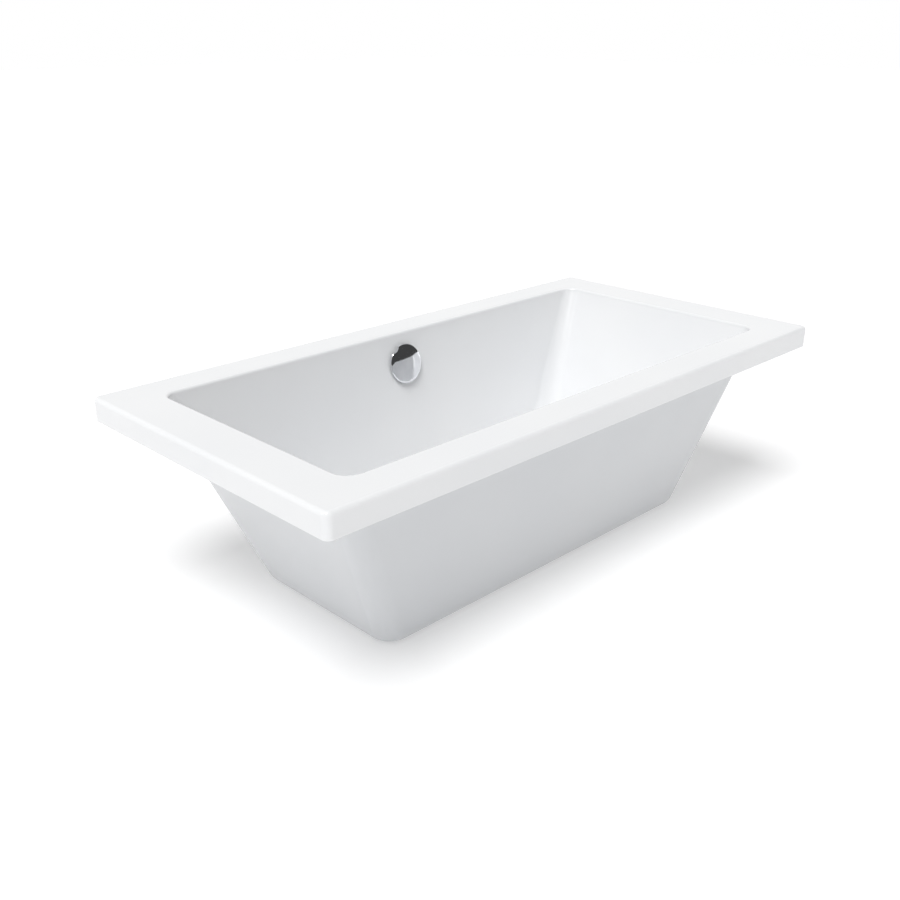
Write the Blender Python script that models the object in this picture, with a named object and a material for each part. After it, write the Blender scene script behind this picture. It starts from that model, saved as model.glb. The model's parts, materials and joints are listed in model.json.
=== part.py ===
"""Freestanding rectangular bath with a central rotary overflow knob and pop-up waste.

Metres, +Z up. The origin is on the floor under the middle of the bath, +X runs along its
length and +Y towards the long wall that carries the overflow.
"""
import bpy
import bmesh
from math import atan, cos, pi, radians, sin, sqrt
from mathutils import Matrix, Vector

MM = 0.001
GAP = 0.3 * MM                 # clearance between pieces that rest on each other

# Overall size
LENGTH = 1800 * MM
WIDTH = 900 * MM
HEIGHT = 533 * MM              # floor to rim top
SHADOW_GAP = 6 * MM            # floor to the underside of the casing

# Rim with its turned-down lip
LIP_HEIGHT = 60 * MM
RIM_CORNER = 18 * MM
RIM_EDGE = 11 * MM             # roundness of the rim's outer top edge
SKIN = 6 * MM                  # thickness of the moulded basin

# Inside of the basin
OPENING_HALF = (778 * MM, 356 * MM)
OPENING_CORNER = 48 * MM
INNER_EDGE = 9 * MM            # roll from the rim down into the basin
END_LEAN = 0.54                # backrest, horizontal run for each unit of height
SIDE_LEAN = 0.2088
FLOOR_TOP = 112 * MM           # basin floor at its edge
FLOOR_FALL = 3 * MM            # fall of the floor towards the waste
FLOOR_UNDER = 103 * MM
FLOOR_FILLET = 60 * MM
FLOOR_CORNER = 70 * MM

# Outer casing
CASING_HALF = (584.6 * MM, 251 * MM)    # walls carried down to the casing's underside
CASING_LEAN = (0.4154, SIDE_LEAN)
CASING_SKIN = 4.5 * MM
CASING_CORNER = 55 * MM
CASING_FILLET = 20 * MM
CASING_FOOT = 10 * MM          # flat return at the bottom edge
CASING_FLANGE = 15 * MM        # flange bonded under the rim
NOTCH = (50 * MM, 122 * MM)    # half width and top of the pipe notch at the back

# Frame and feet
BOARD_HALF = (470 * MM, 190 * MM)
BOARD_THICK = 15.7 * MM
RAIL_X = 340 * MM
RAIL_HALF_LENGTH = 205 * MM
RAIL_HALF_WIDTH = 16 * MM
RAIL_HEIGHT = 20 * MM
RAIL_WALL = 3 * MM
FOOT_Y = 170 * MM
PAD_RADIUS = 24 * MM
PAD_HEIGHT = 14 * MM
STUD_RADIUS = 6 * MM
HEX_RADIUS = 10.9 * MM
SCREW_Y = 90 * MM

# Overflow
OVERFLOW_Z = 442 * MM          # centre of the overflow on the basin wall
WALL_HOLE = 27 * MM
KNOB_RADIUS = 58 * MM
KNOB_HEIGHT = 17 * MM          # how far the knob stands out from the wall
HOUSING_RADIUS = 38 * MM
HOUSING_AXIS = -34 * MM        # plane of the hose spigot behind the wall
HOSE_RADIUS = 14 * MM
HOSE_BEND = 62 * MM
CABLE_RADIUS = 3 * MM
CABLE_X = -24 * MM

# Waste and trap
DRAIN_Z = FLOOR_TOP - FLOOR_FALL
DRAIN_HOLE = 26 * MM
CUP_RADIUS = 42 * MM
CUP_INNER = 38.5 * MM
HOSE_Z = 76 * MM
OUTLET_Z = 32 * MM
OUTLET_RADIUS = 20 * MM
OUTLET_END = 300 * MM
LEVER_Y = -26 * MM
LEVER_Z = 81 * MM
GLAND = (-20 * MM, 72 * MM)    # x and z of the cable entry into the trap
TRAP_LOW = 10 * MM
TRAP_WALL = 3.5 * MM
TRAP_MOUTH = 28 * MM
PIPE_BORE = 17 * MM
SPIGOT_BORE = 11 * MM
GLAND_RADIUS = 4 * MM
GUIDE_BORE = 6.4 * MM          # clearance round the guide screw's shank
GUIDE_LOW = 96 * MM
GUIDE_TOP = 108.8 * MM
PIN_RADIUS = 2 * MM
PIN_BORE = 2.3 * MM
LEVER_RADIUS = 4.5 * MM
ARM_HALF = 2 * MM
CAP_RADIUS = 32.5 * MM
CAP_TOP = DRAIN_Z + 12 * MM
CAP_UNDER = DRAIN_Z + 7.1 * MM
CAP_HUB = 8 * MM
HUB_LOW = 110.5 * MM
STEM_RADIUS = 3 * MM
STEM_BORE = 3.4 * MM
STEM_LOW = 85 * MM
STEM_TOP = 114.6 * MM

CORNER_STEPS = 7
SEGMENTS = 24
LEAN_ANGLE = atan(SIDE_LEAN)


# ---------------------------------------------------------------- materials

def material(name, colour, roughness, metallic=0.0):
    mat = bpy.data.materials.new(name)
    mat.use_nodes = True
    shader = mat.node_tree.nodes["Principled BSDF"]
    shader.inputs["Base Color"].default_value = (*colour, 1.0)
    shader.inputs["Roughness"].default_value = roughness
    shader.inputs["Metallic"].default_value = metallic
    return mat


def make_materials():
    return {
        "acrylic": material("white_acrylic", (0.90, 0.90, 0.90), 0.12),
        "chrome": material("chrome", (0.80, 0.80, 0.82), 0.06, 1.0),
        "steel": material("zinc_plated_steel", (0.62, 0.63, 0.64), 0.38, 1.0),
        "board": material("resin_bonded_board", (0.52, 0.39, 0.25), 0.75),
        "plastic": material("grey_polypropylene", (0.70, 0.71, 0.70), 0.45),
        "dark": material("black_plastic", (0.04, 0.04, 0.045), 0.5),
        "rubber": material("rubber", (0.05, 0.05, 0.05), 0.8),
        "brass": material("nickel_brass", (0.70, 0.62, 0.42), 0.3, 1.0),
    }


# ---------------------------------------------------------------- shared builders

def add_object(name, mesh, mat, matrix=None):
    obj = bpy.data.objects.new(name, mesh)
    bpy.context.scene.collection.objects.link(obj)
    if mat is not None:
        mesh.materials.append(mat)
    if matrix is not None:
        obj.matrix_world = matrix
    return obj


def finish_mesh(name, bm, smooth=True):
    bmesh.ops.recalc_face_normals(bm, faces=bm.faces)
    mesh = bpy.data.meshes.new(name)
    bm.to_mesh(mesh)
    bm.free()
    if smooth:
        mesh.shade_smooth()
        mesh.set_sharp_from_angle(angle=radians(35))
    return mesh


def rounded_ring(bm, half_x, half_y, radius, z):
    """Vertices of a rounded rectangle, counterclockwise from above."""
    verts = []
    corners = ((1, 1, 0.0), (-1, 1, pi / 2), (-1, -1, pi), (1, -1, 3 * pi / 2))
    for sign_x, sign_y, start in corners:
        cx = sign_x * (half_x - radius)
        cy = sign_y * (half_y - radius)
        for step in range(CORNER_STEPS + 1):
            angle = start + step * pi / 2 / CORNER_STEPS
            verts.append(bm.verts.new((cx + radius * cos(angle), cy + radius * sin(angle), z)))
    return verts


def bridge(bm, ring_a, ring_b):
    count = len(ring_a)
    for i in range(count):
        j = (i + 1) % count
        bm.faces.new((ring_a[i], ring_a[j], ring_b[j], ring_b[i]))


def loft(name, rings, closed):
    """Skin a list of (half_x, half_y, corner radius, z); capped unless it closes on itself."""
    bm = bmesh.new()
    loops = [rounded_ring(bm, *ring) for ring in rings]
    for ring_a, ring_b in zip(loops, loops[1:]):
        bridge(bm, ring_a, ring_b)
    if closed:
        bridge(bm, loops[-1], loops[0])
    else:
        bm.faces.new(loops[0])
        bm.faces.new(loops[-1])
    return finish_mesh(name, bm)


def turned(name, profile, closed, segments=SEGMENTS):
    """Turn (radius, z) points about Z. An open profile starts and ends on the axis."""
    bm = bmesh.new()
    rings = []
    for radius, z in profile:
        if radius == 0:
            rings.append([bm.verts.new((0, 0, z))])
            continue
        ring = []
        for i in range(segments):
            angle = 2 * pi * i / segments
            ring.append(bm.verts.new((radius * cos(angle), radius * sin(angle), z)))
        rings.append(ring)
    pairs = list(zip(rings, rings[1:]))
    if closed:
        pairs.append((rings[-1], rings[0]))
    for ring_a, ring_b in pairs:
        if len(ring_a) == 1 or len(ring_b) == 1:
            tip, ring = (ring_a, ring_b) if len(ring_a) == 1 else (ring_b, ring_a)
            for i in range(segments):
                bm.faces.new((tip[0], ring[i], ring[(i + 1) % segments]))
        else:
            bridge(bm, ring_a, ring_b)
    return finish_mesh(name, bm)


def ring_profile(inner, outer, low, high):
    return [(inner, low), (outer, low), (outer, high), (inner, high)]


def rod_profile(radius, low, high):
    return [(0, low), (radius, low), (radius, high), (0, high)]


def box_mesh(name, low, high):
    bm = bmesh.new()
    bmesh.ops.create_cube(bm, size=1.0)
    centre = (Vector(low) + Vector(high)) / 2
    size = Vector(high) - Vector(low)
    for vert in bm.verts:
        vert.co = Vector(c * s for c, s in zip(vert.co, size)) + centre
    return finish_mesh(name, bm, smooth=False)


def prism_mesh(name, outline, low, high):
    """Extrude an (x, y) outline from z = low to z = high."""
    bm = bmesh.new()
    face = bm.faces.new([bm.verts.new((x, y, low)) for x, y in outline])
    extruded = bmesh.ops.extrude_face_region(bm, geom=[face])["geom"]
    moved = [item for item in extruded if isinstance(item, bmesh.types.BMVert)]
    bmesh.ops.translate(bm, verts=moved, vec=(0, 0, high - low))
    return finish_mesh(name, bm, smooth=False)


def tool(name, mesh, matrix=None):
    """A cutter or an added shape: it drives a Boolean and isn't a piece itself."""
    obj = add_object(name, mesh, None, matrix)
    obj.hide_render = True
    obj.display_type = 'WIRE'
    return obj


def boolean(obj, other, operation):
    modifier = obj.modifiers.new(other.name, 'BOOLEAN')
    modifier.operation = operation
    modifier.object = other


def along(start, direction):
    """Frame at start whose Z axis points along direction."""
    turn = Vector(direction).to_track_quat('Z', 'Y').to_matrix().to_4x4()
    return Matrix.Translation(Vector(start)) @ turn


def tube_curve(name, points, radius, mat):
    curve = bpy.data.curves.new(name, 'CURVE')
    curve.dimensions = '3D'
    curve.bevel_depth = radius
    curve.bevel_resolution = 2
    curve.use_fill_caps = True
    spline = curve.splines.new('POLY')
    spline.points.add(len(points) - 1)
    for point, place in zip(spline.points, points):
        point.co = (*place, 1.0)
    curve.materials.append(mat)
    obj = bpy.data.objects.new(name, curve)
    bpy.context.scene.collection.objects.link(obj)
    return obj


# ---------------------------------------------------------------- shell

def filleted_half(z, base_z, base_half, lean, fillet):
    """Half width at height z of a leaning wall that meets a floor at base_z in a fillet."""
    angle = atan(lean)
    tangent = fillet * (1 - sin(angle))
    height = z - base_z
    if height >= tangent:
        return base_half + lean * height
    centre = base_half + lean * tangent - fillet * cos(angle)
    return centre + sqrt(max(fillet ** 2 - (fillet - height) ** 2, 0.0))


def basin_wall(z, axis):
    """Half width of the basin's inner wall at height z, before its floor fillet."""
    lean = (END_LEAN, SIDE_LEAN)[axis]
    top = HEIGHT - INNER_EDGE
    return OPENING_HALF[axis] - INNER_EDGE - lean * (top - z)


def wall_rings(base_z, base_halves, leans, fillet, corner_top, corner_base, top_z, steps=6):
    """Rings from a flat base, round its fillet and up its walls to top_z."""
    rings = []
    for step in range(steps + 1):
        z = base_z + fillet * (1 - cos(pi / 2 * step / steps))
        halves = [filleted_half(z, base_z, h, lean, fillet) for h, lean in zip(base_halves, leans)]
        inset = base_halves[1] + leans[1] * (z - base_z) - halves[1]
        rings.append((*halves, corner_base - inset, z))
    for z, share in ((base_z + (top_z - base_z) / 2, 0.5), (top_z, 1.0)):
        halves = [h + lean * (z - base_z) for h, lean in zip(base_halves, leans)]
        corner = corner_base + (corner_top - corner_base) * share
        rings.append((*halves, corner, z))
    return rings


def edge_arc(halves, corner, z, radius, start, steps=4):
    """Rings of a quarter-round edge, from angle start to start + 90 degrees in its section."""
    rings = []
    for step in range(steps + 1):
        angle = start + step * pi / 2 / steps
        out = radius * cos(angle)
        rings.append((halves[0] + out, halves[1] + out, corner + out, z + radius * sin(angle)))
    return rings


def make_basin(mat):
    """Inner moulding: floor, walls, rolled edge, flat rim and turned-down lip in one skin."""
    leans = (END_LEAN, SIDE_LEAN)
    roll_z = HEIGHT - INNER_EDGE
    drain = (62 * MM, 62 * MM, 60 * MM)
    inner = wall_rings(FLOOR_TOP, [basin_wall(FLOOR_TOP, a) for a in (0, 1)], leans,
                       FLOOR_FILLET, OPENING_CORNER - INNER_EDGE, FLOOR_CORNER, roll_z)
    roll = list(reversed(edge_arc(OPENING_HALF, OPENING_CORNER, roll_z, INNER_EDGE, pi / 2)))
    rim_half = (LENGTH / 2, WIDTH / 2)
    edge_half = [half - RIM_EDGE for half in rim_half]
    edge = list(reversed(edge_arc(edge_half, RIM_CORNER - RIM_EDGE, HEIGHT - RIM_EDGE, RIM_EDGE, 0)))
    lip_low = HEIGHT - LIP_HEIGHT
    lip_inner = [half - SKIN for half in rim_half]
    lip = [
        (*rim_half, RIM_CORNER, lip_low),
        (*lip_inner, RIM_CORNER - SKIN, lip_low),
        (*lip_inner, RIM_CORNER - SKIN, HEIGHT - SKIN),
    ]
    slants = [SKIN / cos(atan(lean)) for lean in leans]
    under_halves = [basin_wall(FLOOR_UNDER, a) + slants[a] for a in (0, 1)]
    under = wall_rings(FLOOR_UNDER, under_halves, leans, FLOOR_FILLET + SKIN,
                       OPENING_CORNER - INNER_EDGE + SKIN, FLOOR_CORNER + SKIN, HEIGHT - SKIN)
    rings = [(*drain, DRAIN_Z)] + inner + roll[1:] + edge + lip + list(reversed(under))
    rings.append((*drain, FLOOR_UNDER))
    return add_object("inner_basin", loft("inner_basin", rings, closed=False), mat)


def make_casing(mat):
    """Outer moulding: tapered walls with a bonded top flange and a turned-in bottom edge."""
    top = HEIGHT - SKIN - GAP
    flange_low = top - CASING_SKIN
    outer = wall_rings(SHADOW_GAP, CASING_HALF, CASING_LEAN, CASING_FILLET,
                       CASING_CORNER, CASING_CORNER, flange_low)
    slants = [CASING_SKIN / cos(atan(lean)) for lean in CASING_LEAN]
    inner_z = SHADOW_GAP + CASING_SKIN
    inner_base = [half + lean * CASING_SKIN - slant
                  for half, lean, slant in zip(CASING_HALF, CASING_LEAN, slants)]
    corner = CASING_CORNER - CASING_SKIN
    inner = wall_rings(inner_z, inner_base, CASING_LEAN, CASING_FILLET - CASING_SKIN,
                       corner, corner, top)
    half_x, half_y, radius, _ = outer[-1]
    flange = [(half_x + CASING_FLANGE, half_y + CASING_FLANGE, radius + CASING_FLANGE, z)
              for z in (flange_low, top)]
    foot_x, foot_y, foot_corner, _ = outer[0]
    foot = [(foot_x - CASING_FOOT, foot_y - CASING_FOOT, foot_corner - CASING_FOOT, z)
            for z in (inner_z, SHADOW_GAP)]
    rings = outer + flange + list(reversed(inner)) + foot
    casing = add_object("outer_casing", loft("outer_casing", rings, closed=True), mat)
    half_width, notch_top = NOTCH
    cutter = box_mesh("pipe_notch_cutter", (-half_width, 0.19, -0.01), (half_width, 0.33, notch_top))
    boolean(casing, tool("pipe_notch_cutter", cutter), 'DIFFERENCE')
    return casing


# ---------------------------------------------------------------- frame and feet

def make_frame(mats):
    board_top = FLOOR_UNDER - GAP
    board_low = board_top - BOARD_THICK
    half_x, half_y = BOARD_HALF
    slot_x, slot_y = 62 * MM, -60 * MM
    outline = [(-half_x, -half_y), (half_x, -half_y), (half_x, half_y), (slot_x, half_y),
               (slot_x, slot_y), (-slot_x, slot_y), (-slot_x, half_y), (-half_x, half_y)]
    board = add_object("floor_board", prism_mesh("floor_board", outline, board_low, board_top),
                       mats["board"])
    rail_top = board_low - GAP
    web_low = rail_top - RAIL_WALL
    for side, sign in (("left", -1), ("right", 1)):
        make_rail(side, sign, rail_top, web_low, board, mats)
    return web_low


def make_rail(side, sign, rail_top, web_low, board, mats):
    """Steel channel across the bath, open downwards, screwed up into the board."""
    wide = RAIL_HALF_WIDTH
    inner = wide - RAIL_WALL
    depth = RAIL_HEIGHT
    section = [(-wide, -depth), (-inner, -depth), (-inner, -RAIL_WALL), (inner, -RAIL_WALL),
               (inner, -depth), (wide, -depth), (wide, 0), (-wide, 0)]
    mesh = prism_mesh(f"support_rail_{side}", section, -RAIL_HALF_LENGTH, RAIL_HALF_LENGTH)
    turn = Matrix(((1, 0, 0, sign * RAIL_X), (0, 0, -1, 0), (0, 1, 0, rail_top), (0, 0, 0, 1)))
    rail = add_object(f"support_rail_{side}", mesh, mats["steel"], turn)
    for end, y in (("front", -SCREW_Y), ("back", SCREW_Y)):
        place = Matrix.Translation((sign * RAIL_X, y, web_low))
        shank = 2.2 * MM
        hole = turned("screw_hole", rod_profile(shank + GAP, -1 * MM, 16 * MM), False, 10)
        cutter = tool(f"screw_hole_{side}_{end}", hole, place)
        boolean(rail, cutter, 'DIFFERENCE')
        boolean(board, cutter, 'DIFFERENCE')
        head = 5 * MM
        profile = [(0, -3.2 * MM), (head * 0.7, -3.2 * MM), (head, -2 * MM), (head, -GAP),
                   (shank, -GAP), (shank, 15 * MM), (0, 15 * MM)]
        mesh = turned("rail_screw", profile, False, 10)
        add_object(f"rail_screw_{side}_{end}", mesh, mats["steel"], place)


def hex_nut(name, low, high, mat, place):
    nut = add_object(name, turned(name, rod_profile(HEX_RADIUS, low, high), False, 6), mat, place)
    bore = turned(f"{name}_bore", rod_profile(STUD_RADIUS + GAP, low - MM, high + MM), False, 14)
    boolean(nut, tool(f"{name}_bore", bore, place), 'DIFFERENCE')
    return nut


def make_feet(web_low, mats):
    """Four levelling feet: pad, threaded stud, lock nut and the nut fixed in the rail."""
    nut_low = web_low - GAP - 10.4 * MM
    for side, sign_x in (("left", -1), ("right", 1)):
        for end, sign_y in (("front", -1), ("back", 1)):
            tag = f"{side}_{end}"
            place = Matrix.Translation((sign_x * RAIL_X, sign_y * FOOT_Y, 0))
            pad = [(0, 0), (PAD_RADIUS - MM, 0), (PAD_RADIUS, MM), (PAD_RADIUS, 5 * MM),
                   (11 * MM, PAD_HEIGHT), (0, PAD_HEIGHT)]
            add_object(f"foot_pad_{tag}", turned("foot_pad", pad, False, 20), mats["dark"], place)
            top = web_low - 2 * MM
            stud = [(0, PAD_HEIGHT + GAP), (STUD_RADIUS, PAD_HEIGHT + GAP),
                    (STUD_RADIUS, top - MM), (STUD_RADIUS - MM, top), (0, top)]
            add_object(f"foot_stud_{tag}", turned("foot_stud", stud, False, 14), mats["steel"], place)
            hex_nut(f"rail_nut_{tag}", nut_low, web_low - GAP, mats["steel"], place)
            hex_nut(f"lock_nut_{tag}", nut_low - GAP - 10 * MM, nut_low - GAP, mats["steel"], place)


# ---------------------------------------------------------------- overflow

def overflow_frame():
    """Frame on the basin wall: X along the bath, Y up the wall, Z out into the basin."""
    origin = (0, basin_wall(OVERFLOW_Z, 1), OVERFLOW_Z)
    return Matrix.Translation(origin) @ Matrix.Rotation(pi / 2 - LEAN_ANGLE, 4, 'X')


def casing_face():
    """Place of the casing's outer face on the overflow's axis, negative behind the wall."""
    inner = basin_wall(OVERFLOW_Z, 1)
    outer = CASING_HALF[1] + SIDE_LEAN * (OVERFLOW_Z - SHADOW_GAP)
    return -(outer - inner) * cos(LEAN_ANGLE)


def make_overflow(basin, casing, mats):
    frame = overflow_frame()
    hole = turned("overflow_hole", rod_profile(WALL_HOLE, -30 * MM, 20 * MM), False)
    cutter = tool("overflow_hole", hole, frame)
    boolean(basin, cutter, 'DIFFERENCE')
    boolean(casing, cutter, 'DIFFERENCE')
    back = casing_face() - GAP
    gasket = turned("overflow_gasket", ring_profile(WALL_HOLE + GAP, 37 * MM, back - 2.8 * MM, back),
                    True)
    add_object("overflow_gasket", gasket, mats["rubber"], frame)
    make_housing(frame, back - 2.8 * MM - GAP, mats["dark"])
    make_bezel(frame, mats["chrome"])
    spindle = turned("knob_spindle", rod_profile(4 * MM, -45.5 * MM, 10 * MM), False, 20)
    add_object("knob_spindle", spindle, mats["brass"], frame)
    drum = [(4.3 * MM, -36 * MM), (18 * MM, -36 * MM), (18 * MM, -35 * MM), (15.5 * MM, -33 * MM),
            (18 * MM, -31 * MM), (18 * MM, -30 * MM), (4.3 * MM, -30 * MM)]
    add_object("cable_drum", turned("cable_drum", drum, True, 24), mats["plastic"], frame)
    make_knob(frame, mats["chrome"])


def make_housing(frame, front, mat):
    """Cup behind the wall with a bearing for the spindle, a hose spigot and a cable gland."""
    wall, depth = 3 * MM, -50 * MM
    mouth = 25.4 * MM
    inner = HOUSING_RADIUS - wall
    bearing = 4.4 * MM
    boss = 8 * MM
    profile = [(0, depth), (HOUSING_RADIUS, depth), (HOUSING_RADIUS, front), (mouth, front),
               (mouth, front - wall), (inner, front - wall), (inner, depth + wall),
               (boss, depth + wall), (boss, -40 * MM), (bearing, -40 * MM), (bearing, -46 * MM),
               (0, -46 * MM)]
    housing = add_object("overflow_housing", turned("overflow_housing", profile, False), mat, frame)
    down = frame.to_3x3() @ Vector((0, -1, 0))
    axis = along(frame @ Vector((0, 0, HOUSING_AXIS)), down)
    spigot = turned("hose_spigot", rod_profile(HOSE_RADIUS, 33.2 * MM, 55 * MM), False, 24)
    boolean(housing, tool("overflow_spigot", spigot, axis), 'UNION')
    gland = along(frame @ Vector((CABLE_X, 0, HOUSING_AXIS)), down)
    ferrule = turned("cable_ferrule", rod_profile(4.5 * MM, 27 * MM, 38 * MM), False, 16)
    boolean(housing, tool("overflow_gland", ferrule, gland), 'UNION')
    bore = turned("hose_bore", rod_profile(HOSE_RADIUS - wall, 20 * MM, 60 * MM), False, 24)
    boolean(housing, tool("overflow_spigot_bore", bore, axis), 'DIFFERENCE')


def make_bezel(frame, mat):
    """Threaded collar that clamps both skins, with a bar that steadies the spindle."""
    neck_in, neck_out, flange = 21 * MM, 25 * MM, 42 * MM
    profile = [(neck_in, -18 * MM), (neck_out, -18 * MM), (neck_out, GAP), (flange, GAP),
               (flange, 2.8 * MM), (flange - 1.5 * MM, 4 * MM), (neck_in, 4 * MM)]
    bezel = add_object("overflow_collar", turned("overflow_collar", profile, True), mat, frame)
    bar = box_mesh("spindle_bar", (-23 * MM, -5 * MM, -7 * MM), (23 * MM, 5 * MM, -3 * MM))
    boolean(bezel, tool("spindle_bar", bar, frame), 'UNION')
    hub = turned("spindle_hub", rod_profile(8.5 * MM, -8 * MM, -1 * MM), False, 24)
    boolean(bezel, tool("spindle_hub", hub, frame), 'UNION')
    bore = turned("spindle_bore", rod_profile(4.4 * MM, -12 * MM, 2 * MM), False, 24)
    boolean(bezel, tool("spindle_bore", bore, frame), 'DIFFERENCE')


def make_knob(frame, mat):
    """Domed round cap with a hub for the spindle and a finger scallop in its edge."""
    rim, high, low = KNOB_RADIUS, KNOB_HEIGHT, 5.2 * MM
    wall = 2.5 * MM
    hub, bore = 9 * MM, 4.3 * MM
    profile = [(0, high), (rim * 0.42, high - 0.8 * MM), (rim * 0.72, high - 2.6 * MM),
               (rim - 5.5 * MM, high - 4.5 * MM), (rim - 1.6 * MM, high - 6.8 * MM),
               (rim, high - 9.5 * MM), (rim, low), (rim - wall, low), (rim - wall, high - 10 * MM),
               (rim - 8 * MM, high - 7 * MM), (hub, high - 4 * MM), (hub, low), (bore, low),
               (bore, 10.6 * MM), (0, 10.6 * MM)]
    knob = add_object("overflow_knob", turned("overflow_knob", profile, False, 36), mat, frame)
    scallop_angle, scallop_radius, depth = radians(126), 27 * MM, 7 * MM
    reach = rim - depth + scallop_radius
    centre = Vector((reach * cos(scallop_angle), reach * sin(scallop_angle), 0))
    scallop = turned("finger_scallop", rod_profile(scallop_radius, 0, 30 * MM), False, 32)
    cutter = tool("finger_scallop", scallop, frame @ Matrix.Translation(centre))
    boolean(knob, cutter, 'DIFFERENCE')


# ---------------------------------------------------------------- waste and trap

def make_waste(basin, mats):
    hole = turned("drain_hole", rod_profile(DRAIN_HOLE, 80 * MM, 130 * MM), False)
    boolean(basin, tool("drain_hole", hole), 'DIFFERENCE')
    seal = turned("flange_seal", ring_profile(27 * MM, 34 * MM, DRAIN_Z + GAP, DRAIN_Z + 1.7 * MM),
                  True)
    add_object("flange_seal", seal, mats["rubber"])
    low = FLOOR_UNDER - GAP - 2.9 * MM
    gasket = turned("waste_gasket", ring_profile(27 * MM, 41 * MM, low, FLOOR_UNDER - GAP), True)
    add_object("waste_gasket", gasket, mats["rubber"])
    make_flange(mats["chrome"])
    make_trap(low - GAP, mats)
    make_plug(mats)
    make_lever(mats)


def make_flange(mat):
    """Chrome waste flange with a neck through the floor and a cross that guides the plug."""
    low, top = DRAIN_Z + 2 * MM, DRAIN_Z + 4.5 * MM
    neck_low, web = 103 * MM, 3 * MM
    inner, neck, outer = 22 * MM, 24.5 * MM, 36 * MM
    profile = [(inner, neck_low), (neck, neck_low), (neck, low), (outer, low),
               (outer, top - 1.3 * MM), (outer - 3 * MM, top), (inner + MM, top), (inner, top - MM)]
    flange = add_object("waste_flange", turned("waste_flange", profile, True), mat)
    for index, (half_x, half_y) in enumerate(((23 * MM, 4 * MM), (4 * MM, 23 * MM))):
        arm = box_mesh("cross_arm", (-half_x, -half_y, neck_low), (half_x, half_y, neck_low + web))
        boolean(flange, tool(f"cross_arm_{index}", arm), 'UNION')
    hub = turned("cross_hub", rod_profile(10 * MM, neck_low, neck_low + web), False, 24)
    boolean(flange, tool("cross_hub", hub), 'UNION')
    bore = turned("cross_bore", rod_profile(GUIDE_BORE, 98 * MM, 112 * MM), False, 24)
    boolean(flange, tool("cross_bore", bore), 'DIFFERENCE')
    shank, head = 6 * MM, 9 * MM
    head_low = GUIDE_TOP - 2.5 * MM
    screw = [(STEM_BORE, GUIDE_LOW), (shank, GUIDE_LOW), (shank, head_low), (head, head_low),
             (head, GUIDE_TOP - 0.8 * MM), (head - MM, GUIDE_TOP), (STEM_BORE, GUIDE_TOP)]
    add_object("guide_screw", turned("guide_screw", screw, True, 24), mat)


def make_trap(top, mats):
    """Shallow trap body: its cup, hose spigot, outlet, cable gland, screw bridge and lugs."""
    floor = TRAP_LOW + TRAP_WALL
    shelf = top - 3 * MM
    profile = [(0, TRAP_LOW), (CUP_RADIUS, TRAP_LOW), (CUP_RADIUS, top), (TRAP_MOUTH, top),
               (TRAP_MOUTH, shelf), (CUP_INNER, shelf), (CUP_INNER, floor), (0, floor)]
    trap = add_object("trap_body", turned("trap_body", profile, False), mats["plastic"])
    back = Vector((0, 1, 0))
    outlets = (
        ("trap_hose_spigot", (0, 0, HOSE_Z), HOSE_RADIUS, 36 * MM, 62 * MM),
        ("trap_outlet", (0, 0, OUTLET_Z), OUTLET_RADIUS, 33.5 * MM, 60 * MM),
        ("trap_gland", (GLAND[0], 0, GLAND[1]), GLAND_RADIUS, 32 * MM, 44 * MM),
    )
    for name, start, radius, near, far in outlets:
        mesh = turned(name, rod_profile(radius, near, far), False, 24)
        boolean(trap, tool(name, mesh, along(start, back)), 'UNION')
    bridge_bar = box_mesh("screw_bridge", (-39.5 * MM, -7.5 * MM, top - 4.2 * MM),
                          (39.5 * MM, 7.5 * MM, top - 0.5 * MM))
    boolean(trap, tool("screw_bridge", bridge_bar), 'UNION')
    lugs = ((-24.5 * MM, -21 * MM, -40 * MM), (6.5 * MM, 10 * MM, -40 * MM))
    for index, (left, right, wall_y) in enumerate(lugs):
        lug = box_mesh("pin_lug", (left, wall_y + MM, LEVER_Z - 7 * MM),
                       (right, LEVER_Y + 5 * MM, LEVER_Z + 7 * MM))
        name = f"pin_lug_{index}"
        boolean(trap, tool(name, lug), 'UNION')
    bores = (
        ("trap_hose_bore", (0, 0, HOSE_Z), back, SPIGOT_BORE, 25 * MM, 70 * MM),
        ("trap_outlet_bore", (0, 0, OUTLET_Z), back, PIPE_BORE, 25 * MM, 70 * MM),
        ("trap_screw_bore", (0, 0, 80 * MM), Vector((0, 0, 1)), GUIDE_BORE, 5 * MM, 40 * MM),
        ("trap_pin_bore", (0, LEVER_Y, LEVER_Z), Vector((1, 0, 0)), PIN_BORE, -25.5 * MM, 12 * MM),
    )
    for name, start, direction, radius, near, far in bores:
        mesh = turned(name, rod_profile(radius, near, far), False, 24)
        boolean(trap, tool(name, mesh, along(start, direction)), 'DIFFERENCE')
    insert = [(14 * MM, 22 * MM), (16 * MM, 22 * MM), (16 * MM, 57 * MM), (37.9 * MM, 57 * MM),
              (37.9 * MM, 60 * MM), (14 * MM, 60 * MM)]
    add_object("trap_insert", turned("trap_insert", insert, True), mats["plastic"])
    axis = along((0, 0, OUTLET_Z), back)
    nut = turned("outlet_nut", ring_profile(OUTLET_RADIUS + GAP, 26 * MM, 50 * MM, 70 * MM), True)
    add_object("outlet_nut", nut, mats["dark"], axis)
    pipe = turned("outlet_pipe", ring_profile(PIPE_BORE, OUTLET_RADIUS, 60 * MM + GAP, OUTLET_END), True)
    add_object("outlet_pipe", pipe, mats["plastic"], axis)


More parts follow.
